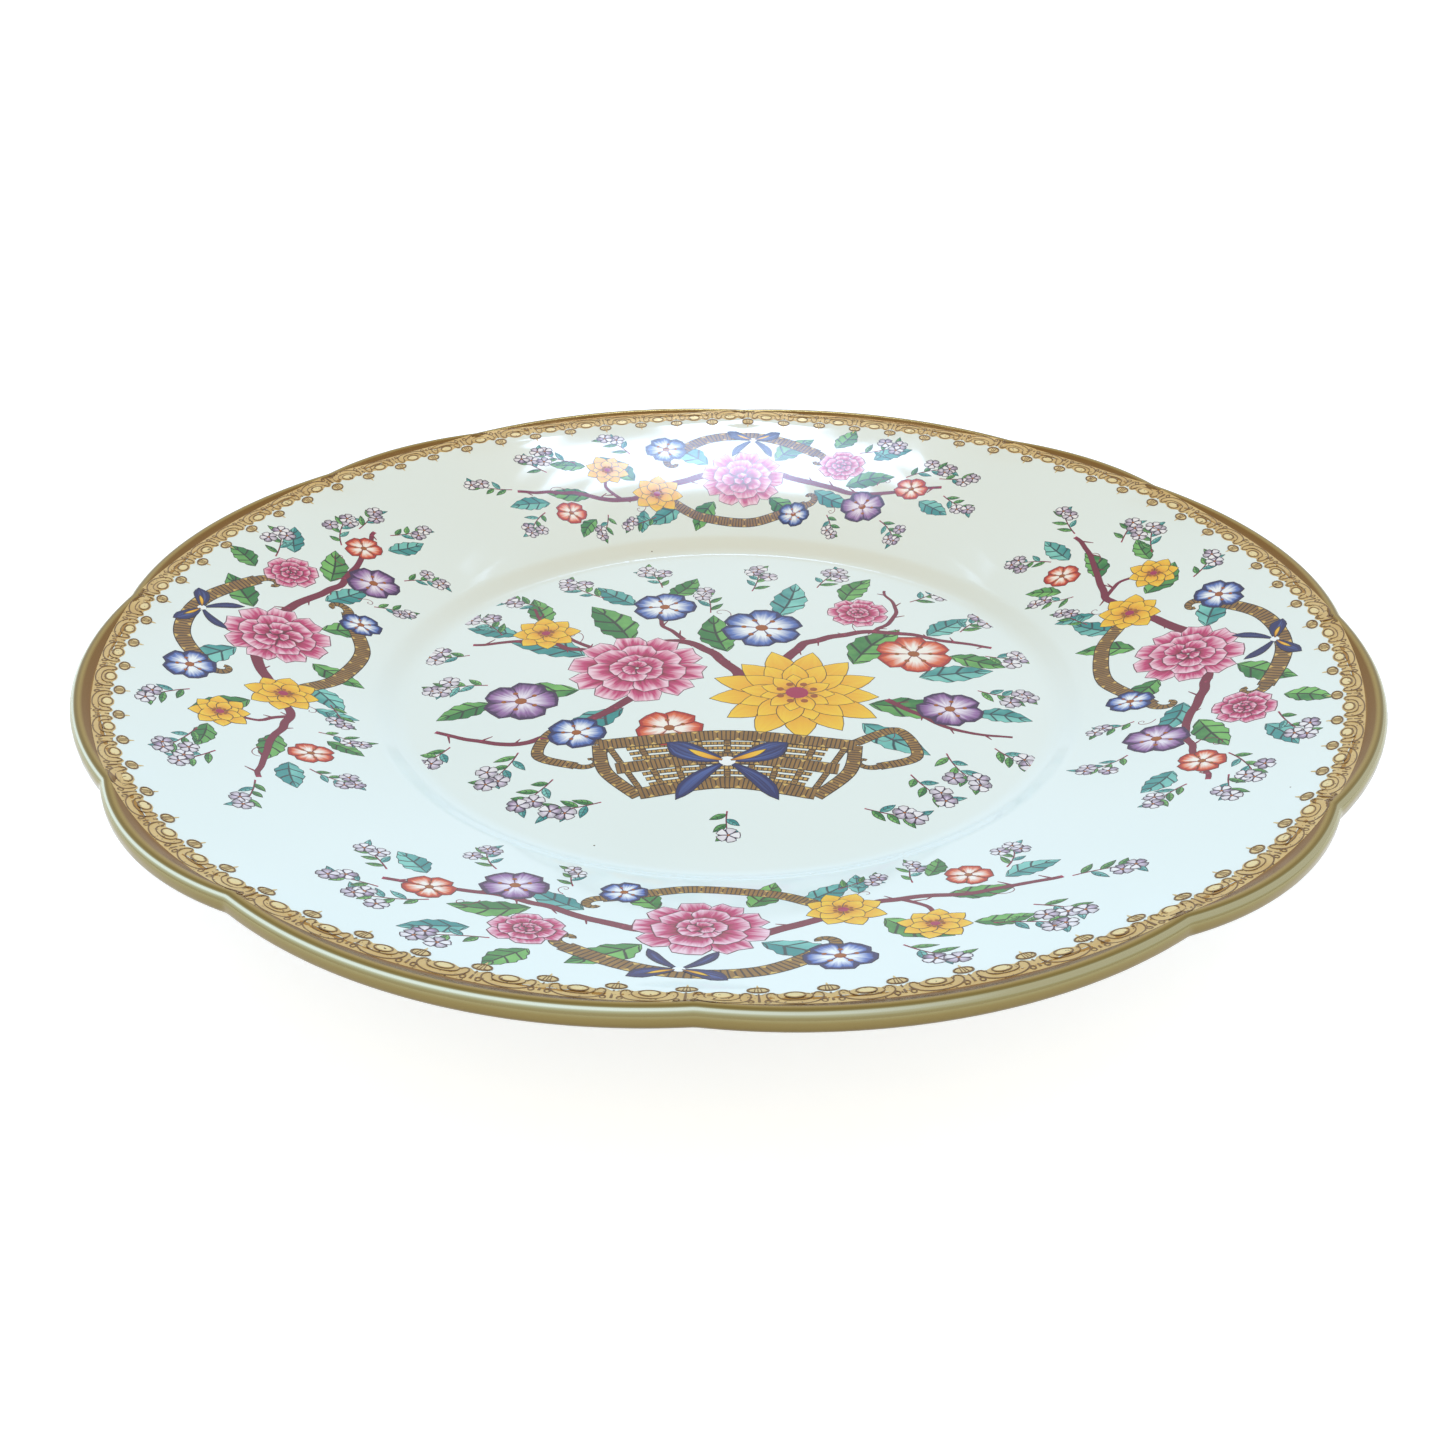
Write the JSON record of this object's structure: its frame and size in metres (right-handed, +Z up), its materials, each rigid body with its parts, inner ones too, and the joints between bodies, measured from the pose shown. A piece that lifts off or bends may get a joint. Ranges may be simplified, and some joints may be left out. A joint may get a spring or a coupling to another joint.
{
  "type": "china dinner plate",
  "caption": "Lobed china dinner plate with a gilt lip and bud border, a broad brim, a sunken well and enamelled flower sprays, on a foot ring.",
  "frame": {"origin": "middle of the foot ring's bearing plane, which is the lowest plane", "axes": "+Z up through the middle of the well; +X and +Y point to notches of the lobed outline, turned by two degrees; the bouquet in the well stands towards +Y"},
  "size_m": [0.2574, 0.2574, 0.0267],
  "materials": {
    "bone_china": "matte",
    "clear_glaze": "gloss",
    "burnished_gold": "satin",
    "printed_gold": "satin",
    "rose_enamel": "gloss",
    "yellow_enamel": "gloss",
    "green_enamel": "gloss",
    "turquoise_enamel": "gloss",
    "purple_enamel": "gloss",
    "blue_enamel": "gloss",
    "iron_red_enamel": "gloss",
    "plum_enamel": "gloss",
    "brown_enamel": "gloss"
  },
  "bodies": {
    "root": {"china_body": "bone_china", "glaze_face": "clear_glaze", "glaze_back": "clear_glaze", "gilt_lip": "burnished_gold", "gilt_border": "printed_gold", "rose_enamel": "rose_enamel", "yellow_enamel": "yellow_enamel", "green_enamel": "green_enamel", "turquoise_enamel": "turquoise_enamel", "purple_enamel": "purple_enamel", "blue_enamel": "blue_enamel", "iron_red_enamel": "iron_red_enamel", "plum_enamel": "plum_enamel", "brown_enamel": "brown_enamel"}
  },
  "joints": []
}
